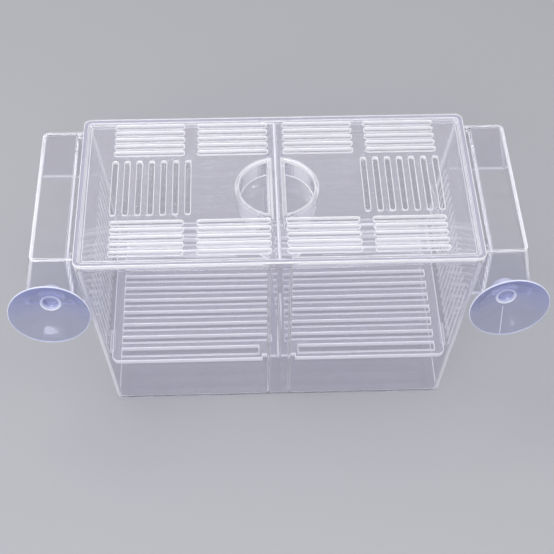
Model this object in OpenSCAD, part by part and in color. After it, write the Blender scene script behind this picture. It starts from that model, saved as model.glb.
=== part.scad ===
// Fish breeding box: a clear tank with leaning walls, a slotted lid with two feeding pockets, a
// lift-out divider and slotted tray, and two side floats that each carry a suction cup.
// All sizes in millimetres. X runs along the box, front is -Y, the underside of the floor is z = 0.

/* [Box] */
// Length of the rim and lid
box_l = 200; // [180:1:230]
// Depth of the rim and lid, front to back
box_w = 102; // [96:1:120]
// Height of the box with the lid on
box_h = 113; // [105:1:130]
// How far each end wall leans in from rim to floor
end_lean = 11.3; // [9:0.1:14]
// How far the front and back walls lean in from rim to floor
side_lean = 0.6; // [0.4:0.1:4]
// Wall thickness of the box
wall = 2; // [1.6:0.1:2.5]
// Thickness of the floor
floor_t = 2; // [1.5:0.1:3]
// Radius of the upright corners of the box, rim and lid
corner_r = 4; // [3.5:0.1:5]
// Radius along the bottom edges
foot_r = 2.4; // [1:0.1:3]
// How far the rim flange stands out from the walls
flange_out = 0.4; // [0.3:0.1:1.5]
// Height of the rim flange
flange_h = 3.1; // [2.5:0.1:4]
// Width of the thumb notch in the flange, front and back
notch_w = 11.5; // [9:0.5:14]

/* [End wall slits] */
// Number of slits in each end wall
slit_count = 17; // [9:2:17]
// Distance from slit to slit
slit_pitch = 5.25; // [4:0.05:5.25]
// Width of a slit
slit_w = 1.2; // [0.8:0.1:1.6]
// Height of a slit
slit_h = 43.5; // [20:0.5:46]
// Distance from the top of the tray up to the slits
slit_rise = 1.3; // [0.5:0.1:6]

/* [Guide ribs] */
// Clear width between the two ribs of a pair
guide_gap = 9.8; // [8:0.1:12]
// Thickness of a rib
rib_t = 1; // [0.8:0.1:1.6]
// How far a rib stands in from the wall
rib_out = 2; // [1.2:0.1:3]
// How far the ribs and the divider stop short of the lid plate
rib_drop = 0.6; // [0.3:0.1:2]

/* [Lid] */
// Thickness of the lid's edge, where it lies on the rim
lid_t = 1.4; // [1.2:0.1:2]
// Thickness of the lid plate inside its lip
plate_t = 2.2; // [2:0.1:3]
// Thickness of the lip under the lid
lip_t = 1.2; // [1:0.1:2]
// Depth of the lip below the lid plate
lip_h = 3.2; // [2.4:0.1:5]
// Width of a slot
slot_w = 2.5; // [1.5:0.1:3]
// Rows of long slots at the front and at the back
row_count = 5; // [2:1:5]
// Distance from row to row
row_pitch = 4.9; // [4:0.1:5]
// Distance from the edge of the lid to the outer row
row_margin = 7.1; // [6.5:0.1:9]
// Length of a slot in a row
row_slot_l = 36; // [30:0.5:38]
// Solid bar between two slots of a row
row_bar = 6.9; // [5:0.1:9]
// Solid bar across the middle of the lid, between the two halves of a row
middle_bar = 8.2; // [6:0.1:10]
// Number of cross slots in each half
cross_count = 7; // [3:1:7]
// Distance from cross slot to cross slot
cross_pitch = 6.2; // [5:0.05:6.2]
// Distance from the middle of the lid to the first cross slot
cross_start = 44.9; // [44:0.1:46]
// Length of a cross slot
cross_slot_l = 37; // [30:0.2:38]
// How far the whole pattern of slots sits towards the back of the lid
pattern_back = 0.9; // [0:0.1:1]

/* [Feeding pockets] */
// Diameter of the round that the two half-moon pockets share
pocket_d = 38.4; // [30:0.2:39]
// Width of the bridge between the pockets, at the top of the lid
bridge_w = 8.8; // [8:0.1:11]
// Depth of a pocket below the top of the lid
pocket_h = 11; // [6:0.5:16]
// Thickness of the pocket walls and floor
pocket_t = 1.8; // [1:0.1:1.8]

/* [Divider] */
// Thickness of the divider's upright web
web_t = 2; // [1.5:0.1:2.2]
// Thickness of its end flanges
web_flange_t = 1.5; // [1:0.1:1.8]

/* [Fry tray] */
// Thickness of the tray
tray_t = 2.7; // [2:0.1:4]
// Height of the top of the tray above the underside of the box
tray_top = 33.7; // [25:0.1:45]
// Number of slot rows in each half of the tray
tray_rows = 11; // [5:2:11]
// Width of the openings in the tray
tray_slot_w = 3.5; // [3:0.1:4.2]
// Width of the openings in its front row and back row
tray_end_slot_w = 4.6; // [3:0.1:5.2]
// Plain border from the ends of the tray to the ends of the slots
tray_border = 5.3; // [4.5:0.1:9]
// Plain border from the front and back of the tray to the first slot
tray_rim = 3.7; // [3.2:0.1:6]
// Width of the solid bar along the middle of the tray
tray_bar = 6.4; // [6:0.2:16]
// Width of the solid bar at the front row and the back row, beside the guide ribs
tray_end_bar = 21.2; // [20:0.2:30]
// Width of the recess in the tray's front and back edges
recess_w = 17; // [13.5:0.5:20]
// How far the ledges that carry the tray stand out from the end walls
ledge_out = 2.7; // [2.4:0.1:3.5]
// Height of a ledge
ledge_h = 2; // [1.5:0.1:4]
// Length of a ledge
ledge_l = 14; // [8:1:24]
// Distance from the middle of an end wall to each ledge
ledge_at = 32; // [14:1:34]

/* [Floats] */
// Length of a float, front to back
float_l = 88.8; // [70:0.2:90]
// Width of a float across its top
float_w = 19.2; // [16:0.2:22]
// Height of a float
float_h = 33; // [26:0.5:38]
// Wall thickness of a float
float_t = 1.6; // [1.2:0.1:2]
// How far the float's outer wall leans out from top to bottom
float_flare = 6.8; // [0:0.1:8]
// Radius of the float's outer corners
float_r = 3; // [2:0.5:4]
// How far the float's top lies below the top of the lid
float_drop = 2.5; // [2:0.1:3.4]
// Gap between the rim and the float
float_gap = 2.2; // [1.5:0.1:3]
// Gap between the box wall and the float's side webs
web_gap = 1; // [0.6:0.1:1.5]
// Width of a lug that plugs the float into the rim, front to back
lug_w = 4.5; // [3:0.1:6]
// Thickness of a lug
lug_t = 1.5; // [1.2:0.1:1.6]

/* [Suction cups] */
// Diameter of a cup
cup_d = 41.5; // [34:0.5:44]
// Distance from the float's front wall to the cup's face
cup_reach = 10.5; // [9:0.5:14]
// Thickness of the cup at its edge
cup_edge_t = 1.1; // [0.8:0.1:2]
// Thickness of the soft cup wall
cup_t = 2; // [1.5:0.1:2.6]
// Diameter of the cup's neck, where it passes the float's wall
neck_d = 9; // [7:0.5:11]
// Diameter of the knob behind the wall
knob_d = 12.5; // [12:0.5:15]
// Thickness of the knob
knob_t = 4; // [3:0.5:6]
// Distance from the float's inner wall to the neck's middle
neck_side = 12.1; // [9:0.1:14]
// Height of the neck's middle above the float's bottom edge
neck_up = 2.4; // [2:0.1:6]
// Upward tilt of the left cup in its slot, in degrees
left_tilt = 3.8; // [0:0.1:6]
// Upward tilt of the right cup in its slot, in degrees
right_tilt = 2.7; // [0:0.1:6]
// Turn of the right cup away from the box, in degrees
right_turn = 3.6; // [0:0.1:8]
// How much lower the right cup sits in its slot
right_drop = 2.1; // [0:0.1:2.5]

/* [Clearances] */
// Gap between the lid's lip and the box wall
lip_clear = 0.3; // [0.2:0.05:0.5]
// Gap between the divider and the guide ribs, wall and tray
divider_clear = 0.2; // [0.15:0.05:0.4]
// Gap between the tray and the front and back walls
tray_clear = 0.4; // [0.3:0.05:0.6]
// Gap between the tray and the end walls
tray_end_clear = 1.5; // [0.4:0.1:1.8]
// Gap at each end of the break in the lid's lip, round the guide ribs
break_clear = 0.4; // [0.3:0.05:0.8]
// Gap round a lug in its socket
lug_clear = 0.15; // [0.1:0.05:0.3]
// Radial gap round the neck in its slot
neck_clear = 0.3; // [0.25:0.05:0.5]

/* [Hidden] */
$fn = 64;
clear_plastic = [0.86, 0.89, 0.92, 0.35];
soft_blue = [0.62, 0.64, 0.84, 0.6];

// cutters reach this far past the faces they open
over = 1;
// longer than any part of the object, for bars that are trimmed afterwards
long = 2 * max(box_l, box_w, box_h);

rim_z = box_h - lid_t;
// outer half sizes of the box walls at the rim
top_x = box_l / 2 - flange_out;
top_y = box_w / 2 - flange_out;
// how much the walls lean for each millimetre of height
slope_x = end_lean / rim_z;
slope_y = side_lean / rim_z;

// outer half size of the box at a height
function half_x(z) = top_x - slope_x * (rim_z - z);
function half_y(z) = top_y - slope_y * (rim_z - z);
// inner half size of the box at a height
function in_x(z) = half_x(z) - wall;
function in_y(z) = half_y(z) - wall;

// a round edge is drawn a little flatter than its radius, so that it crosses the flats cleanly
ease = 0.12;
// from the flat to the middle of the round, and the radius that is drawn
function middle(r) = r * (1 + ease);
function drawn_r(r) = r * sqrt((1 + ease) * (1 + ease) + ease * ease);

tray_z = tray_top - tray_t;
tray_x = in_x(tray_z) - tray_end_clear;
tray_y = in_y(tray_z) - tray_clear;
tray_pitch = 2 * (tray_y - tray_rim - tray_end_slot_w / 2) / (tray_rows - 1);

web_z = tray_top + divider_clear;
web_top = box_h - plate_t - rib_drop;
flange_half = guide_gap / 2 - divider_clear;

rib_x = guide_gap / 2 + rib_t / 2;
lip_break = guide_gap + 2 * (rib_t + break_clear);

row_y = box_w / 2 - row_margin;
row_x = middle_bar / 2 + row_slot_l / 2;
row_step = row_slot_l + row_bar;

slit_z = tray_top + slit_rise;

float_x = box_l / 2 + float_gap;
float_top = box_h - float_drop;
float_z = float_top - float_h;
neck_x = float_x + neck_side;
neck_z = float_z + neck_up;
// room between the float's wall and the cup and knob, so that they can tilt and turn
neck_gap = neck_clear + knob_d / 2 * sin(max(left_tilt, right_tilt, right_turn));
lug_y = float_l / 2 - lug_w / 2;
lug_reach = float_gap + flange_out + wall / 2;

module round_slab(l, w, h, r) {
    linear_extrude(h)
        union() {
            square([l - 2 * r, w], center = true);
            square([l, w - 2 * r], center = true);
            for (sx = [-1, 1], sy = [-1, 1])
                translate([sx * (l / 2 - r), sy * (w / 2 - r)])
                    circle(r);
        }
}

// a four-sided bar that runs along Y, half a wide at the bottom and half b wide at the top
module wedge_y(a, b, h, len) {
    rotate([90, 0, 0])
        linear_extrude(len, center = true)
            polygon([[-a, 0], [a, 0], [b, h], [-b, h]]);
}

module wedge_x(a, b, h, len) {
    rotate([0, 0, 90])
        wedge_y(a, b, h, len);
}

// solid block with four leaning faces and round upright corners
module lean_block(ax, ay, h, r) {
    bx = ax + slope_x * h;
    by = ay + slope_y * h;
    tilt = atan(sqrt(slope_x * slope_x + slope_y * slope_y));
    intersection() {
        wedge_y(ax, bx, h, long);
        wedge_x(ay, by, h, long);
        union() {
            wedge_y(ax - middle(r), bx - middle(r), h, long);
            wedge_x(ay - middle(r), by - middle(r), h, long);
            for (sx = [-1, 1], sy = [-1, 1])
                translate([sx * (ax - middle(r)), sy * (ay - middle(r)), 0])
                    rotate([0, tilt, atan2(sy * slope_y, sx * slope_x)])
                        rotate([0, 0, 180])
                            translate([0, 0, -over])
                                cylinder(h = h + 3 * over, r = drawn_r(r));
        }
    }
}

// everything inside the round of radius f along the two bottom edges that run along Y
module foot_y(a, s, f) {
    x1 = a + (s - 1) * middle(f);
    rotate([90, 0, 0])
        linear_extrude(long, center = true)
            union() {
                polygon([[-x1, -over], [x1, -over], [x1, middle(f)], [long, middle(f)],
                         [long, long], [-long, long], [-long, middle(f)], [-x1, middle(f)]]);
                for (side = [-1, 1])
                    translate([side * x1, middle(f)])
                        circle(drawn_r(f));
            }
}

// a shell that lies against the inside of the front and back walls between two heights
module wall_liner(z0, z1, gap, thick, w) {
    translate([0, 0, z0])
        difference() {
            wedge_x(in_y(z0) - gap, in_y(z1) - gap, z1 - z0, w);
            translate([0, 0, -over])
                wedge_x(in_y(z0 - over) - gap - thick, in_y(z1 + over) - gap - thick,
                        z1 - z0 + 2 * over, w + 2 * over);
        }
}

module box_body() {
    color(clear_plastic)
        difference() {
            union() {
                difference() {
                    union() {
                        intersection() {
                            lean_block(half_x(0), half_y(0), rim_z, corner_r);
                            foot_y(half_x(0), slope_x, foot_r);
                            rotate([0, 0, 90])
                                foot_y(half_y(0), slope_y, foot_r);
                        }
                        translate([0, 0, rim_z - flange_h])
                            round_slab(box_l, box_w, flange_h, corner_r);
                    }
                    translate([0, 0, floor_t])
                        lean_block(in_x(floor_t), in_y(floor_t), rim_z, corner_r - wall);
                }
                guide_ribs();
                tray_ledges();
            }
            end_slits();
            flange_notches();
            lug_sockets();
        }
}

module guide_ribs() {
    for (side = [-1, 1])
        translate([side * rib_x, 0, 0])
            wall_liner(floor_t / 2, web_top, -wall / 2, rib_out + wall / 2, rib_t);
}

module tray_ledges() {
    for (sx = [-1, 1], sy = [-1, 1])
        translate([sx * (in_x(tray_z) - ledge_out), sy * ledge_at - ledge_l / 2, tray_z - ledge_h])
            mirror([sx < 0 ? 1 : 0, 0, 0])
                cube([ledge_out + wall / 2, ledge_l, ledge_h]);
}

module end_slits() {
    for (sx = [-1, 1], i = [0 : slit_count - 1])
        translate([sx * half_x(slit_z + slit_h / 2), (i - (slit_count - 1) / 2) * slit_pitch,
                   slit_z + slit_h / 2])
            cube([wall + end_lean + over, slit_w, slit_h], center = true);
}

module flange_notches() {
    for (sy = [-1, 1])
        translate([0, sy * (top_y + over), rim_z - flange_h / 2])
            cube([notch_w, 2 * over, flange_h + over], center = true);
}

module lug_sockets() {
    for (sx = [-1, 1], sy = [-1, 1])
        translate([sx * (box_l / 2 - flange_out - wall / 2), sy * lug_y, float_top - lug_t / 2])
            cube([2 * (flange_out + wall / 2) + 2 * lug_clear, lug_w + 2 * lug_clear,
                  lug_t + 2 * lug_clear], center = true);
}

module lid() {
    color(clear_plastic)
        difference() {
            union() {
                translate([0, 0, rim_z])
                    round_slab(box_l, box_w, lid_t, corner_r);
                lid_lip();
                translate([0, 0, box_h - pocket_h - pocket_t])
                    half_moons(pocket_d / 2 + pocket_t, bridge_w / 2 - pocket_t,
                               pocket_h + pocket_t - plate_t / 2);
            }
            translate([0, 0, box_h - pocket_h])
                half_moons(pocket_d / 2, bridge_w / 2, pocket_h + over);
            lid_slots();
        }
}

module lid_lip() {
    lip_x = in_x(rim_z) - lip_clear - slope_x * lip_h;
    lip_y = in_y(rim_z) - lip_clear - slope_y * lip_h;
    lip_r = corner_r - wall;
    plate_z = box_h - plate_t;
    translate([0, 0, rim_z - lip_h])
        difference() {
            round_slab(2 * lip_x, 2 * lip_y, lip_h + lid_t / 2, lip_r);
            translate([0, 0, -over])
                round_slab(2 * (lip_x - lip_t), 2 * (lip_y - lip_t), plate_z - rim_z + lip_h + over,
                           lip_r - lip_t / 2);
            translate([-lip_break / 2, -box_w / 2, -over])
                cube([lip_break, box_w, plate_z - rim_z + lip_h + over]);
        }
}

// the two halves of a round of radius r, kept past x = inner on each side
module half_moons(r, inner, h) {
    difference() {
        cylinder(h = h, r = r, $fn = 96);
        translate([0, 0, h / 2])
            cube([2 * inner, 2 * r + 2 * over, h + 2 * over], center = true);
    }
}

module slot(l, w, h) {
    for (side = [-1, 1])
        translate([side * (l - w) / 2, 0, 0])
            cylinder(h = h, d = w, $fn = 24);
    translate([-(l - w) / 2, -w / 2, 0])
        cube([l - w, w, h]);
}

module lid_slots() {
    for (sx = [-1, 1], sy = [-1, 1], i = [0 : row_count - 1], k = [0, 1])
        translate([sx * (row_x + k * row_step), sy * (row_y - i * row_pitch) + pattern_back,
                   box_h - plate_t - over])
            slot(row_slot_l, slot_w, plate_t + 2 * over);
    for (sx = [-1, 1], i = [0 : cross_count - 1])
        translate([sx * (cross_start + i * cross_pitch), pattern_back, box_h - plate_t - over])
            rotate([0, 0, 90])
                slot(cross_slot_l, slot_w, plate_t + 2 * over);
}

module divider() {
    web_half = in_y(web_z) - divider_clear - web_flange_t / 2;
    web_half_top = in_y(web_top) - divider_clear - web_flange_t / 2;
    color(clear_plastic)
        union() {
            translate([0, 0, web_z])
                wedge_x(web_half, web_half_top, web_top - web_z, web_t);
            wall_liner(web_z, web_top, divider_clear, web_flange_t, 2 * flange_half);
        }
}

module fry_tray() {
    color(clear_plastic)
        translate([0, 0, tray_z])
            difference() {
                round_slab(2 * tray_x, 2 * tray_y, tray_t, corner_r);
                for (sx = [-1, 1], i = [1 : tray_rows - 2])
                    tray_slot(sx, i, tray_bar, tray_slot_w);
                for (sx = [-1, 1], i = [0, tray_rows - 1])
                    tray_slot(sx, i, tray_end_bar, tray_end_slot_w);
                for (sy = [-1, 1])
                    translate([0, sy * tray_y, tray_t / 2])
                        cube([recess_w, 2 * (rib_out + tray_clear), tray_t + 2 * over], center = true);
            }
}

module tray_slot(side, i, bar, w) {
    slot_end = tray_x - tray_border;
    slot_l = slot_end - bar / 2;
    translate([side * (slot_end - slot_l / 2), (i - (tray_rows - 1) / 2) * tray_pitch, tray_t / 2])
        cube([slot_l, w, tray_t + 2 * over], center = true);
}

// block with a leaning outer wall and two round outer corners, x1 wide at the bottom
module float_block(x0, x1, len, h, r) {
    s = float_flare / float_h;
    x2 = x1 - middle(r);
    intersection() {
        rotate([90, 0, 0])
            linear_extrude(len, center = true)
                polygon([[x0, 0], [x1, 0], [x1 - s * h, h], [x0, h]]);
        union() {
            translate([x0 - over, middle(r) - len / 2, -over])
                cube([long, len - 2 * middle(r), h + 2 * over]);
            rotate([90, 0, 0])
                linear_extrude(len + 2 * over, center = true)
                    polygon([[x0 - over, 0], [x2, 0], [x2 - s * h, h], [x0 - over, h]]);
            for (sy = [-1, 1])
                translate([x2, sy * (len / 2 - middle(r)), 0])
                    rotate([0, -atan(s), 0])
                        rotate([0, 0, 180])
                            translate([0, 0, -over])
                                cylinder(h = h + 3 * over, r = drawn_r(r));
        }
    }
}

// upright web that carries the float's end wall in towards the box, along the leaning box wall
module float_web() {
    low_x = half_x(float_z) + web_gap;
    high_z = rim_z - flange_h - float_gap - float_z;
    high_x = half_x(float_z + high_z) + web_gap;
    rotate([90, 0, 0])
        linear_extrude(float_t, center = true)
            polygon([[low_x, 0], [float_x + float_t, 0], [float_x + float_t, float_h],
                     [float_x, float_h], [high_x, high_z]]);
}

module float_shell() {
    difference() {
        union() {
            float_block(float_x, float_x + float_w + float_flare, float_l, float_h, float_r);
            for (sy = [-1, 1])
                translate([0, sy * (float_l - float_t) / 2, 0])
                    float_web();
        }
        translate([0, 0, -over])
            float_block(float_x + float_t,
                        float_x + float_w + float_flare * (1 + over / float_h) - float_t,
                        float_l - 2 * float_t, float_h - float_t + over, float_r - float_t);
    }
}

module left_float() {
    mirror([1, 0, 0])
        float_piece();
}

module right_float() {
    float_piece();
}

module float_piece() {
    color(clear_plastic)
        difference() {
            union() {
                translate([0, 0, float_z])
                    float_shell();
                for (sy = [-1, 1])
                    translate([float_x - lug_reach / 2 + float_t / 2, sy * lug_y,
                               float_top - lug_t / 2])
                        cube([lug_reach + float_t, lug_w, lug_t], center = true);
            }
            neck_slot();
        }
}

module neck_slot() {
    slot_r = neck_d / 2 + neck_clear;
    translate([neck_x, -float_l / 2 + float_t / 2, neck_z])
        rotate([90, 0, 0])
            union() {
                cylinder(h = float_t + 2 * over, r = slot_r, center = true);
                translate([-slot_r, -neck_up - over, -float_t / 2 - over])
                    cube([2 * slot_r, neck_up + over, float_t + 2 * over]);
            }
}

module left_suction_cup() {
    mirror([1, 0, 0])
        suction_cup(left_tilt, 0, 0);
}

module right_suction_cup() {
    suction_cup(right_tilt, right_turn, right_drop);
}

module suction_cup(tilt, turn, drop) {
    behind = -float_t / 2 - neck_gap;
    front = float_t / 2 + neck_gap;
    face = cup_reach + float_t / 2;
    color(soft_blue)
        translate([neck_x, -(float_l - float_t) / 2, neck_z - drop])
            rotate([90 - tilt, 0, turn])
                rotate_extrude($fn = 96)
                    polygon([[0, behind - knob_t], [knob_d / 2, behind - knob_t],
                             [knob_d / 2, behind], [neck_d / 2, behind], [neck_d / 2, front],
                             [neck_d / 2 + cup_t, front], [cup_d / 2 - cup_t, face - 2 * cup_edge_t],
                             [cup_d / 2, face - cup_edge_t], [cup_d / 2, face],
                             [cup_d / 2 - cup_t, face], [neck_d / 2, front + cup_t],
                             [0, front + cup_t]]);
}

box_body();
lid();
divider();
fry_tray();
left_float();
right_float();
left_suction_cup();
right_suction_cup();
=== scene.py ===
# Clear fish breeding box: moulded polystyrene looks, soft suction cups, floor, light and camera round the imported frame
import math

import bmesh
import bpy
from mathutils import Matrix, Vector


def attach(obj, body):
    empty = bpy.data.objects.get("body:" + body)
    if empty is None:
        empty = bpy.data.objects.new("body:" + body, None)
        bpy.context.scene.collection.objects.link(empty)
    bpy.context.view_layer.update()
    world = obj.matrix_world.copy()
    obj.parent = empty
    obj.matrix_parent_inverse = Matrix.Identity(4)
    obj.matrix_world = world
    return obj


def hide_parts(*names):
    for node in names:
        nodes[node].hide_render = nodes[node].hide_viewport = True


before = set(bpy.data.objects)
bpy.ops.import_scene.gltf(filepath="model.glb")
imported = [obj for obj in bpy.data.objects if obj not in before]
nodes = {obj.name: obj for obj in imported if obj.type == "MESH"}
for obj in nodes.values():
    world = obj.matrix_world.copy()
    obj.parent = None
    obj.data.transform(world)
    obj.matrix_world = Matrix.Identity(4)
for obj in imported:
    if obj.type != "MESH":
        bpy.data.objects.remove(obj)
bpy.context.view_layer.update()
scene = bpy.context.scene
mm = 0.001  # everything below is thought of in millimetres


def hexToLinear(text):  # sRGB hex to the linear colour that shaders use
    channels = [int(text[i:i + 2], 16) / 255 for i in (1, 3, 5)]
    return [c / 12.92 if c <= 0.04045 else ((c + 0.055) / 1.055) ** 2.4 for c in channels] + [1.0]


def newMaterial(name):  # an empty node material and its output node
    material = bpy.data.materials.new(name)
    material.use_nodes = True
    material.node_tree.nodes.clear()
    return material, material.node_tree.nodes.new("ShaderNodeOutputMaterial")


def addNode(owner, kind, settings=None):  # one node in a material or node group; a setting that is a socket is linked
    tree = getattr(owner, "node_tree", owner)
    node = tree.nodes.new(kind)
    for key, value in (settings or {}).items():
        if not isinstance(key, int) and key not in node.inputs:
            setattr(node, key, value)
        elif isinstance(value, bpy.types.NodeSocket):
            tree.links.new(value, node.inputs[key])
        else:
            node.inputs[key].default_value = value
    return node


def addRamps(material, least, *ramps):  # the larger of a value and the product of ramps (value, from, to, low, high)
    product = 1.0
    for value, start, end, low, high in ramps:
        ramp = addNode(material, "ShaderNodeMapRange",
                       {"Value": value, "From Min": start, "From Max": end, "To Min": low, "To Max": high})
        product = addNode(material, "ShaderNodeMath",
                          {"operation": "MULTIPLY", 0: product, 1: ramp.outputs["Result"]}).outputs[0]
    return addNode(material, "ShaderNodeMath", {"operation": "MAXIMUM", 0: least, 1: product}).outputs[0]


def distanceFromAxis(material, place):  # how far a place is from the Z axis
    level = addNode(material, "ShaderNodeVectorMath", {"operation": "MULTIPLY", 0: place, 1: (1, 1, 0)})
    return addNode(material, "ShaderNodeVectorMath",
                   {"operation": "LENGTH", 0: level.outputs["Vector"]}).outputs["Value"]


def finishClear(material, out, shader, tint):  # lets lamp light through clear plastic to what lies behind
    path = addNode(material, "ShaderNodeLightPath")
    lit = addNode(material, "ShaderNodeMath",
                  {"operation": "MAXIMUM", 0: path.outputs["Is Shadow Ray"], 1: path.outputs["Is Diffuse Ray"]})
    through = addNode(material, "ShaderNodeBsdfTransparent", {"Color": hexToLinear(tint)})
    mixed = addNode(material, "ShaderNodeMixShader",
                    {0: lit.outputs[0], 1: shader.outputs["BSDF"], 2: through.outputs["BSDF"]})
    material.node_tree.links.new(mixed.outputs["Shader"], out.inputs["Surface"])
    return material


# camera, solved from the lid corners, the rims and the round of the two pockets
camera = {
    "focalPixels": 1297.0,   # focal length in pixels of the 554 pixel wide frame
    "framePixels": 554,
    "elevation": 49.99,      # degrees above the lid
    "yaw": 2.385,            # degrees, camera stands this much to the left of the box's middle line
    "roll": 0.6346,
    "distance": 709.5 * mm,
    "aim": (0.5487 * mm, 0.0, 41.43 * mm),
}


def makeCamera(c):
    elevation, yaw, roll = (math.radians(c[k]) for k in ("elevation", "yaw", "roll"))
    forward = Vector((math.sin(yaw) * math.cos(elevation), math.cos(yaw) * math.cos(elevation), -math.sin(elevation)))
    right = Vector((math.cos(yaw), -math.sin(yaw), 0))
    up = right.cross(forward)
    tiltedRight = math.cos(roll) * right + math.sin(roll) * up
    tiltedUp = -math.sin(roll) * right + math.cos(roll) * up
    data = bpy.data.cameras.new("camera")
    data.sensor_fit = "HORIZONTAL"
    data.sensor_width = 36
    data.lens = c["focalPixels"] / c["framePixels"] * data.sensor_width
    data.clip_start, data.clip_end = 0.01, 100
    eye = bpy.data.objects.new("camera", data)
    scene.collection.objects.link(eye)
    rotation = Matrix((tiltedRight, tiltedUp, -forward)).transposed()
    eye.matrix_world = Matrix.Translation(Vector(c["aim"]) - forward * c["distance"]) @ rotation.to_4x4()
    scene.camera = eye


makeCamera(camera)
print("camera placed")


# pale studio floor and soft light
studio = {
    "floorColour": "#a0a0a4",
    "floorSize": 14.0,       # metres
    "floorDrop": 0.2,        # mm under the box, so that the two don't share a plane
    "floorRoughness": 0.85,
    "grainScale": 3.0,       # swells to a metre
    "grain": 0.02,           # share by which the grey varies
    "worldColour": "#f1f3f8",
    "worldStrength": 0.55,
    "key": {"place": (-0.5, 0.25, 1.2), "aim": (0, 0, 0.05), "size": (0.7, 0.7), "watts": 8},
    "right": {"place": (1.0, -0.2, 0.9), "aim": (0, 0, 0.08), "size": (0.5, 0.9), "watts": 5},
    "front": {"place": (-0.3, -1.0, 0.85), "aim": (0, 0, 0.09), "size": (1.0, 0.4), "watts": 11},
}


def makeFloor(s):
    mesh = bpy.data.meshes.new("studioFloor")
    b = bmesh.new()
    bmesh.ops.create_grid(b, x_segments=2, y_segments=2, size=s["floorSize"] / 2)
    b.to_mesh(mesh)
    b.free()
    floor = bpy.data.objects.new("studioFloor", mesh)
    floor.location.z = -s["floorDrop"] * mm
    scene.collection.objects.link(floor)
    material, out = newMaterial("painted board, matt rolled")  # soft, nearly even pale grey
    place = addNode(material, "ShaderNodeTexCoord")
    grain = addNode(material, "ShaderNodeTexNoise",
                    {"Scale": s["grainScale"], "Detail": 3.0, "Vector": place.outputs["Object"]})
    tone = addNode(material, "ShaderNodeMapRange",
                   {"To Min": 1 - s["grain"], "To Max": 1 + s["grain"], "Value": grain.outputs["Fac"]})
    colour = addNode(material, "ShaderNodeVectorMath",
                     {"operation": "SCALE", 0: hexToLinear(s["floorColour"])[:3], "Scale": tone.outputs["Result"]})
    shader = addNode(material, "ShaderNodeBsdfPrincipled",
                     {"Roughness": s["floorRoughness"], "Specular IOR Level": 0.2,
                      "Base Color": colour.outputs["Vector"]})
    material.node_tree.links.new(shader.outputs["BSDF"], out.inputs["Surface"])
    mesh.materials.append(material)


def makeLight(name, s):
    data = bpy.data.lights.new(name, "AREA")
    data.shape = "RECTANGLE"
    data.size, data.size_y = s["size"]
    data.energy = s["watts"]
    lamp = bpy.data.objects.new(name, data)
    scene.collection.objects.link(lamp)
    place, aim = Vector(s["place"]), Vector(s["aim"])
    lamp.matrix_world = Matrix.Translation(place) @ (aim - place).to_track_quat("-Z", "Y").to_matrix().to_4x4()


def makeWorld(s):
    world = bpy.data.worlds.new("studio")
    world.use_nodes = True
    background = world.node_tree.nodes.get("Background") or world.node_tree.nodes.new("ShaderNodeBackground")
    background.inputs["Color"].default_value = hexToLinear(s["worldColour"])
    background.inputs["Strength"].default_value = s["worldStrength"]
    scene.world = world


makeFloor(studio)
for lightName in ("key", "right", "front"):
    makeLight(lightName + "Softbox", studio[lightName])
makeWorld(studio)
scene.view_settings.view_transform = "Standard"
scene.cycles.max_bounces = scene.cycles.transmission_bounces = 32  # light passes many clear walls
scene.cycles.transparent_max_bounces = scene.cycles.glossy_bounces = 24
scene.cycles.caustics_reflective = False
scene.cycles.caustics_refractive = False
print("floor and lights ready")


# clear polystyrene, injection moulded: water clear, glossy, a faint grey violet in depth, slight ripple from the mould
styrene = {
    "ior": 1.59,
    "tint": "#f3f2f6",       # what one face leaves of light that passes it
    "clouding": "#eeedf3",   # faint uneven haze colour
    "haze": 0.02,            # share of light a face scatters
    "hazeSpread": 0.03,      # and how much more in its cloudier parts
    "roughness": 0.0,
    "roughSpread": 0.02,
    "rippleSize": 22,        # mm, swell of the flow marks
    "rippleHeight": 0.02,    # mm
    "lampTint": "#f8f8fa",   # what a face leaves of lamp light on its way to the floor
    "paintedCornerGlow": 0.5,       # painted glow: haze of rounded corners, in place of the light piped along the sheet that they gather
}
paintedEdgeGlow = {
    "ior": 1.59,
    "wearSize": 6,           # mm, patches in which the edge is clearer or cloudier
    "wear": 0.12,            # share by which they differ
    "tint": "#f8f8fb",
    "haze": 0.6,             # painted glow: haze that whitens the edges, in place of light piped along the sheet
    "dimPaintedGlow": 0.45,         # painted shade: less painted glow on the floats' inner walls, which the box shades
    "roughness": 0.16,
    "lampTint": "#dcdbde",
}
# Painted glow, in place of light piped along the sheet: haze that whitens each kind of piece where it shows its walls
# end-on, on flat tops (a painted sheen), on upright walls and on everything ("over") above fromHeight, and then in
# bands of its own. Millimetres in the part's own frame.
paintedGlows = {
    "box": {"flat": 0.0, "wall": 0.0, "fromHeight": 108.4, "over": 0.06,
            "slits": (45, 0.6)},                           # |y| inside which they lie, haze
    "lid": {"flat": 0.08, "wall": 0.9, "fromHeight": 110.6, "over": 0.0,
            "pocket": (19.2, 21.0, 2.6, 4.4, 0.28)},       # radii of the round wall, |x| of the straight wall, haze
    "divider": {"flat": 0.0, "wall": 0.0, "fromHeight": 0, "over": 0.0,
                "stripe": (0.15, 0.85)},                   # x up to which the top edge takes painted glow, haze
    "tray": {"flat": 0.11, "wall": 0.95, "fromHeight": 0, "over": 0.0},
    "float": {"flat": 0.0, "wall": 0.0, "fromHeight": 110, "over": 0.0,
              "border": (121.4, 44.4, 2.0, 0.3),           # |x| and y of the top's edges, width of the band, haze
              "foot": (79.0, 0.95)},                       # height of the lower edge, haze
}
fade = 0.1  # mm to either side of a band's edge over which it comes in


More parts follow.
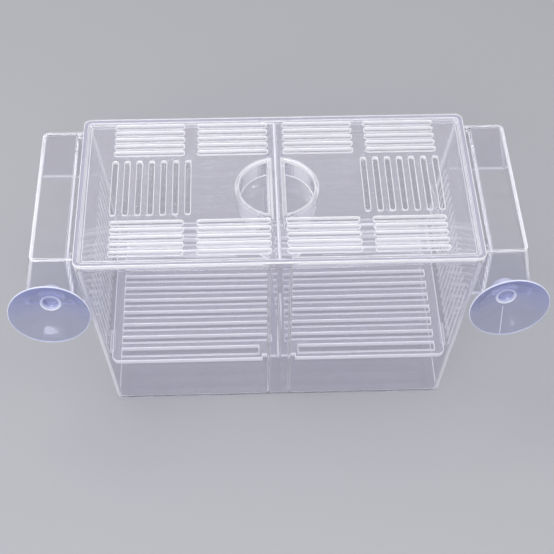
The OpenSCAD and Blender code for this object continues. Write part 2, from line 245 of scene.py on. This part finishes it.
def makeStyrene(name, s, g):
    material, out = newMaterial(name)
    place = addNode(material, "ShaderNodeTexCoord").outputs["Object"]
    swell = addNode(material, "ShaderNodeTexNoise",
                    {"Scale": 1 / (s["rippleSize"] * mm), "Detail": 2.0, "Distortion": 0.6, "Vector": place})
    clouds = addNode(material, "ShaderNodeTexNoise",
                     {"Scale": 2 / (s["rippleSize"] * mm), "Detail": 5.0, "Roughness": 0.6, "Vector": place})
    cloud = clouds.outputs["Fac"]
    colour = addNode(material, "ShaderNodeMix",
                     {"data_type": "RGBA", 0: cloud, 6: hexToLinear(s["tint"]), 7: hexToLinear(s["clouding"])})
    normal = addNode(material, "ShaderNodeNewGeometry").outputs["True Normal"]
    facing, size = (addNode(material, "ShaderNodeVectorMath", {"operation": "ABSOLUTE", 0: v}).outputs["Vector"]
                    for v in (normal, place))
    nx, ny, nz = addNode(material, "ShaderNodeSeparateXYZ", {"Vector": facing}).outputs
    signedX, signedY, z = addNode(material, "ShaderNodeSeparateXYZ", {"Vector": place}).outputs
    x, y, _ = addNode(material, "ShaderNodeSeparateXYZ", {"Vector": size}).outputs
    squareness = nx
    for other in (ny, nz):
        squareness = addNode(material, "ShaderNodeMath", {"operation": "MAXIMUM", 0: squareness, 1: other}).outputs[0]

    def below(value, limit, share=1.0):  # a ramp that is full below a limit in mm
        return value, (limit + fade) * mm, (limit - fade) * mm, 0.0, share

    def above(value, limit, share=1.0):
        return value, (limit - fade) * mm, (limit + fade) * mm, 0.0, share

    high = above(z, g["fromHeight"])
    facingUp, facingFront = (nz, 0.8, 0.9, 0.0), (ny, 0.8, 0.9, 0.0)
    # painted glow: haze on rounded corners and on upright walls high up, and a painted sheen on flat tops
    paintedGlow = [[(squareness, 0.97, 0.85, 0.0, s["paintedCornerGlow"])],
            [high, (nz, 0.35, 0.2, g["over"], max(g["wall"], g["over"]))],
            [facingUp + (g["flat"],)]]
    if "foot" in g:  # painted glow on the lower edge of an upright wall, in place of piped light
        paintedGlow.append([below(z, *g["foot"])])
    if "slits" in g:  # painted glow on the cut faces of the slits in the end walls
        limit, share = g["slits"]
        paintedGlow.append([facingFront + (1.0,), (y, (limit + 0.5) * mm, limit * mm, 0.0, share)])
    if "stripe" in g:  # painted glow on the divider's top edge, on the side that leans on the lid's left pocket
        paintedGlow.append([below(signedX, *g["stripe"]), facingUp + (1.0,)])
    if "border" in g:  # painted glow on the back and outer side of the float's top
        halfX, back, width, share = g["border"]
        paintedGlow += [[above(x, halfX - width, share), high], [above(signedY, back - width, share), high]]
    if "pocket" in g:  # painted glow on the tops of the pocket's round wall and of its straight wall
        inner, outer, barIn, barOut, share = g["pocket"]
        radius = distanceFromAxis(material, place)
        within = [below(radius, outer), above(x, barIn, share), high]
        paintedGlow += [[above(radius, inner)] + within, [below(x, barOut)] + within]
    haze = addRamps(material, 0.0, (cloud, 0.3, 0.7, s["haze"], s["haze"] + s["hazeSpread"]))
    for ramps in paintedGlow:
        haze = addRamps(material, haze, *ramps)
    roughness = addRamps(material, 0.0, (cloud, 0.3, 0.7, s["roughness"], s["roughness"] + s["roughSpread"]))
    clearness = addNode(material, "ShaderNodeMath", {"operation": "SUBTRACT", 0: 1.0, 1: haze}).outputs[0]
    ripple = addNode(material, "ShaderNodeBump",
                     {"Strength": 0.5, "Distance": s["rippleHeight"] * mm, "Height": swell.outputs["Fac"]})
    shader = addNode(material, "ShaderNodeBsdfPrincipled",
                     {"IOR": s["ior"], "Base Color": colour.outputs[2], "Roughness": roughness,
                      "Transmission Weight": clearness, "Normal": ripple.outputs["Normal"]})
    return finishClear(material, out, shader, s["lampTint"])


def makeEdge(name, s, paintedGlowFrom=0):  # the last argument: mm from the middle of the box where edges begin to take their full painted glow, with a dimmer painted glow nearer the middle
    material, out = newMaterial(name)
    place = addNode(material, "ShaderNodeTexCoord").outputs["Object"]
    wear = addNode(material, "ShaderNodeTexNoise",
                   {"Scale": 1 / (s["wearSize"] * mm), "Detail": 4.0, "Vector": place}).outputs["Fac"]
    x = addNode(material, "ShaderNodeSeparateXYZ", {"Vector": place}).outputs["X"]
    side = addNode(material, "ShaderNodeMath", {"operation": "ABSOLUTE", 0: x}).outputs[0]
    near = addRamps(material, 0.0, (side, (paintedGlowFrom - 0.5) * mm, (paintedGlowFrom + 0.5) * mm,
                                    1 - s["dimPaintedGlow"], 1 - s["haze"]))
    uneven = addNode(material, "ShaderNodeMapRange", {"Value": wear, "To Min": -s["wear"], "To Max": s["wear"]})
    clearness = addNode(material, "ShaderNodeMath",
                        {"operation": "ADD", 0: near, 1: uneven.outputs["Result"]}).outputs[0]
    shader = addNode(material, "ShaderNodeBsdfPrincipled",
                     {"IOR": s["ior"], "Roughness": s["roughness"], "Base Color": hexToLinear(s["tint"]),
                      "Transmission Weight": clearness})
    return finishClear(material, out, shader, s["lampTint"])


# how the edges of the clear pieces are rounded
mouldedEdge = {
    "weld": 0.01,            # mm, corners closer than this are one
    "segments": 2,
    "angle": 35,             # degrees, edges sharper than this are rounded
    "flatFrom": (0.985, 0.998, 0.999),  # a face that looks this much along X, Y or Z is a flat wall
}


def makeSmoothGroup(flatFrom):  # node group that shades rounds smooth and flat walls flat
    group = bpy.data.node_groups.new("shadeSmooth", "GeometryNodeTree")
    group.interface.new_socket("Geometry", in_out="INPUT", socket_type="NodeSocketGeometry")
    group.interface.new_socket("Geometry", in_out="OUTPUT", socket_type="NodeSocketGeometry")
    start = addNode(group, "NodeGroupInput")
    smooth = addNode(group, "GeometryNodeSetShadeSmooth", {"Geometry": start.outputs[0]})
    normal = addNode(group, "ShaderNodeSeparateXYZ", {0: addNode(group, "GeometryNodeInputNormal").outputs["Normal"]})
    flat = 0.0
    for axis, least in zip("XYZ", flatFrom):
        size = addNode(group, "ShaderNodeMath", {"operation": "ABSOLUTE", 0: normal.outputs[axis]}).outputs[0]
        facing = addNode(group, "ShaderNodeMath", {"operation": "GREATER_THAN", 0: size, 1: least}).outputs[0]
        flat = addNode(group, "ShaderNodeMath", {"operation": "MAXIMUM", 0: facing, 1: flat}).outputs[0]
    walls = addNode(group, "GeometryNodeSetShadeSmooth",
                    {"Geometry": smooth.outputs["Geometry"], "Selection": flat, "Shade Smooth": False})
    addNode(group, "NodeGroupOutput", {0: walls.outputs["Geometry"]})
    return group


smoothGroup = makeSmoothGroup(mouldedEdge["flatFrom"])
edgeMaterial = makeEdge("clear polystyrene, moulded edge with painted glow", paintedEdgeGlow)
floatEdgeMaterial = makeEdge("clear polystyrene, light-filled edge of the float", {**paintedEdgeGlow, "haze": 0.5}, 106)
boxEdgeMaterial = makeEdge("clear polystyrene, light-filled edge of the box", {**paintedEdgeGlow, "dimPaintedGlow": 0.2}, 8)
faintEdgeMaterial = makeEdge("clear polystyrene, moulded edge with faint painted glow", {**paintedEdgeGlow, "haze": 0.3})
trayEdgeMaterial = makeEdge("clear polystyrene, edge of the tray with painted glow", {**paintedEdgeGlow, "haze": 0.85})
clear = {kind: makeStyrene("clear polystyrene, injection moulded, " + kind, styrene, g) for kind, g in paintedGlows.items()}

dressing = {  # node: material of its faces, of its edges, width of the round on its edges in mm
    "box_body": (clear["box"], boxEdgeMaterial, 0.35),
    "lid": (clear["lid"], edgeMaterial, 0.35),
    "divider": (clear["divider"], faintEdgeMaterial, 0.3),
    "fry_tray": (clear["tray"], trayEdgeMaterial, 0.42),
    "left_float": (clear["float"], floatEdgeMaterial, 0.34),
    "right_float": (clear["float"], floatEdgeMaterial, 0.34),
}


def dressNode(node, face, edge, width, e):
    node.material_slots[0].material = face
    node.data.materials.append(edge)
    weld = node.modifiers.new("weld", "WELD")
    weld.merge_threshold = e["weld"] * mm
    bevel = node.modifiers.new("moulded edge", "BEVEL")
    bevel.width = width * mm
    bevel.segments = e["segments"]
    bevel.limit_method = "ANGLE"
    bevel.angle_limit = math.radians(e["angle"])
    bevel.use_clamp_overlap = False
    bevel.loop_slide = False  # sliding along long thin triangles would fold the flat plates
    # the rounded edges take the edge material with its painted glow
    bevel.material = 1
    smooth = node.modifiers.new("smooth", "NODES")
    smooth.node_group = smoothGroup
    weighted = node.modifiers.new("weighted", "WEIGHTED_NORMAL")
    weighted.weight = 100
    weighted.keep_sharp = False


for nodeName, looks in dressing.items():
    dressNode(nodes[nodeName], *looks, mouldedEdge)
print("clear pieces dressed")


# suction cups: soft PVC, moulded, slightly blue and cloudy
cup = {
    # mm, middle of the neck in the float's wall
    "neckPlace": {"left": (-114.3, -43.6, 79.9), "right": (114.3, -43.6, 77.8)},
    "tilt": {"left": 3.8, "right": 2.7},  # degrees
    "turn": {"left": 0, "right": 3.6},
    "ior": 1.53,
    "cloudSize": 7,          # mm
    "tint": "#ced2e8",
    "clouding": "#dcdfee",
    "deepTint": "#b2b8e2",   # the upper half is bluer and cloudier
    "lowHaze": 0.05,
    "highHaze": 0.3,
    "paintedHighlightHaze": 0.9,          # painted highlight: haze that whitens the thin lip, the knob and the ring round the middle, where they catch the light
    # colour of the painted highlight
    "paintedHighlightTint": "#f2f3fa",
    "paintedShadeTint": "#8c91b9",     # painted shade: darker colour of the deep middle inside the ring
    "roughness": 0.08,
    "lampTint": "#d3d6e8",
    # mould line down the dish, whitened with painted glow; degrees and mm
    "seam": {"side": "right", "angle": -98, "width": 0.6, "height": 0.16, "haze": 0.42},
    "ring": (3.7, 4.25, 5.05, 5.6),  # radii between which the painted highlight of the ring comes in and goes out
    # each of these: where it starts and where it is full in mm, and its share at both ends
    "paintedRingHighlight": (4.5, -2.5, 0.35, 0.8),   # painted highlight of the ring by height, brighter below
    "paintedLipHighlight": (19.8, 20.4, 0.0, 0.8),    # painted highlight of the lip, by radius
    "paintedKnobHighlight": (-1, -2, 0.0, 0.8),       # painted highlight of the knob, by depth behind the float's wall
    "cloudier": (-8, 14),                  # by height, from lowHaze to highHaze
    "bluer": (-10, 16, 0.0, 1.0),          # by height
    "paintedShadeInside": (3.9, 3.4, 0.0, 0.8),      # painted shade inside the ring, by radius
    # radius and distance from the float's wall, round the piece from the back of the knob to the dish
    "profile": [
        (0.0, -5.8), (3.4, -5.8), (5.5, -5.65), (6.3, -5.2), (6.5, -4.4), (6.4, -3.2), (6.0, -2.1), (5.3, -1.6),
        (4.75, -1.55), (4.45, -1.2), (4.4, 0.0), (4.45, 1.2), (4.9, 1.7), (6.4, 1.95), (8.6, 2.75), (11.5, 4.4),
        (14.5, 6.5), (17.0, 8.4), (19.0, 9.7), (20.0, 10.1), (20.5, 10.4), (20.6, 10.8), (20.35, 11.15),
        (19.8, 11.25), (18.8, 10.9), (16.8, 9.85), (14.0, 8.1), (11.0, 6.1), (8.0, 4.25), (6.3, 3.2), (5.6, 2.9),
        (5.15, 3.25), (4.65, 3.45), (4.15, 3.2), (3.85, 2.6), (3.4, 1.6), (2.6, 1.0), (1.3, 0.8), (0.0, 0.75)],
    "dish": (29, 23),        # which points of the profile the mould line follows, from the ring out to the rim
}


def makePvc(c):
    material, out = newMaterial("soft PVC, moulded, plasticised")  # waxy, cloudy, tinted blue, soft highlights, with painted highlights on lip, knob and ring and painted shade inside the ring
    place = addNode(material, "ShaderNodeAttribute", {"attribute_name": "cupPlace"}).outputs["Vector"]
    clouds = addNode(material, "ShaderNodeTexNoise",
                     {"Scale": 1 / (c["cloudSize"] * mm), "Detail": 5.0, "Roughness": 0.55, "Vector": place})
    cloud = clouds.outputs["Fac"]
    radius = distanceFromAxis(material, place)
    height, depth = addNode(material, "ShaderNodeSeparateXYZ", {"Vector": place}).outputs[1:3]
    ringIn, ringFrom, ringTo, ringOut = (r * mm for r in c["ring"])

    def along(value, start, end, low, high):  # a ramp between two places in mm
        return value, start * mm, end * mm, low, high

    # painted highlight on the ring, the lip and the knob: haze and a paler colour
    paintedHighlight = addRamps(material, 0.0, (radius, ringIn, ringFrom, 0.0, 1.0), (radius, ringOut, ringTo, 0.0, 1.0),
                      along(height, *c["paintedRingHighlight"]))
    paintedHighlight = addRamps(material, paintedHighlight, along(radius, *c["paintedLipHighlight"]))
    paintedHighlight = addRamps(material, paintedHighlight, along(depth, *c["paintedKnobHighlight"]))
    haze = addRamps(material, 0.0, (paintedHighlight, 0.0, 1.0, 0.0, c["paintedHighlightHaze"]))
    haze = addRamps(material, haze, along(height, *c["cloudier"], c["lowHaze"], c["highHaze"]))
    bluer = addRamps(material, 0.0, along(height, *c["bluer"]))
    # painted shade in the deep middle inside the ring
    paintedShadeInside = addRamps(material, 0.0, along(radius, *c["paintedShadeInside"]))
    colour = hexToLinear(c["tint"])
    for share, tint in ((cloud, "clouding"), (bluer, "deepTint"), (paintedShadeInside, "paintedShadeTint"), (paintedHighlight, "paintedHighlightTint")):
        colour = addNode(material, "ShaderNodeMix",
                         {"data_type": "RGBA", 0: share, 6: colour, 7: hexToLinear(c[tint])}).outputs[2]
    roughness = addRamps(material, 0.0, (cloud, 0.0, 1.0, c["roughness"] - 0.02, c["roughness"] + 0.04))
    clearness = addNode(material, "ShaderNodeMath", {"operation": "SUBTRACT", 0: 1.0, 1: haze}).outputs[0]
    shader = addNode(material, "ShaderNodeBsdfPrincipled",
                     {"IOR": c["ior"], "Specular IOR Level": 0.25, "Base Color": colour, "Roughness": roughness,
                      "Transmission Weight": clearness})
    return finishClear(material, out, shader, c["lampTint"])


def addSeam(b, c):  # a low rounded bead along the dish
    s = c["seam"]
    first, last = c["dish"]
    points = [c["profile"][i] for i in range(first, last - 1, -1)]
    angle = math.radians(s["angle"])
    out, across = Vector((math.cos(angle), math.sin(angle), 0)), Vector((-math.sin(angle), math.cos(angle), 0))
    section = [(-0.5, -0.35), (-0.3, 0.6), (0.0, 1.0), (0.3, 0.6), (0.5, -0.35)]  # share of width, share of height
    rings = []
    for radius, height in points:
        middle = out * radius + Vector((0, 0, height))
        rings.append([b.verts.new((middle + across * u * s["width"] + Vector((0, 0, v * s["height"]))) * mm)
                      for u, v in section])
    for low, high in zip(rings, rings[1:]):
        for i in range(len(section)):
            j = (i + 1) % len(section)
            b.faces.new((low[i], low[j], high[j], high[i])).material_index = 1
    b.faces.new(rings[0][::-1]).material_index = 1
    b.faces.new(rings[-1]).material_index = 1


def makeCup(side, c, materials, steps=96):
    b = bmesh.new()
    rings = []
    for radius, height in c["profile"]:
        count = steps if radius else 1
        angles = [2 * math.pi * i / count for i in range(count)]
        rings.append([b.verts.new((radius * mm * math.cos(a), radius * mm * math.sin(a), height * mm)) for a in angles])
    for low, high in zip(rings, rings[1:]):
        for i in range(steps):
            corners = [low[i % len(low)], low[(i + 1) % len(low)], high[(i + 1) % len(high)], high[i % len(high)]]
            b.faces.new(list(dict.fromkeys(corners)))
    if side == c["seam"]["side"]:
        addSeam(b, c)
    bmesh.ops.recalc_face_normals(b, faces=b.faces)
    mesh = bpy.data.meshes.new(side + "SuctionCup")
    b.to_mesh(mesh)
    b.free()
    mesh.shade_smooth()
    place = mesh.attributes.new("cupPlace", "FLOAT_VECTOR", "POINT")  # place in the cup's own frame, for its material
    for vertex in mesh.vertices:
        place.data[vertex.index].vector = vertex.co
    turn = Matrix.Rotation(math.radians(c["turn"][side]), 4, "Z")
    tilt = Matrix.Rotation(math.radians(90 - c["tilt"][side]), 4, "X")
    mesh.transform(Matrix.Translation(Vector(c["neckPlace"][side]) * mm) @ turn @ tilt)
    piece = bpy.data.objects.new(side + "SuctionCup", mesh)
    scene.collection.objects.link(piece)
    subdivision = piece.modifiers.new("round", "SUBSURF")
    subdivision.levels = subdivision.render_levels = 1
    for material in materials:
        mesh.materials.append(material)
    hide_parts(side + "_suction_cup")
    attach(piece, side + "_cup")


pvc = makePvc(cup)
seamPvc = makeEdge("soft PVC, mould line with painted glow", {**paintedEdgeGlow, "haze": cup["seam"]["haze"]})
makeCup("left", cup, (pvc,))
makeCup("right", cup, (pvc, seamPvc))
print("suction cups made")


# small round mark where the plastic entered the mould, on the floor of the left feeding pocket, whitened by a faint
# painted glow
gateMark = {"place": (-11.6, 10.2, 102.0), "radius": 1.0, "topRadius": 0.7, "height": 0.22, "lift": 0.02}  # mm


def makeGateMark(g):
    b = bmesh.new()
    bmesh.ops.create_cone(b, cap_ends=True, segments=32, radius1=g["radius"] * mm, radius2=g["topRadius"] * mm,
                          depth=g["height"] * mm)
    mesh = bpy.data.meshes.new("gateMark")
    b.to_mesh(mesh)
    b.free()
    mark = bpy.data.objects.new("gateMark", mesh)
    scene.collection.objects.link(mark)
    mark.location = Vector(g["place"]) * mm + Vector((0, 0, (g["height"] / 2 + g["lift"]) * mm))
    mesh.materials.append(faintEdgeMaterial)
    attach(mark, "cover")


makeGateMark(gateMark)
print("gate mark made")
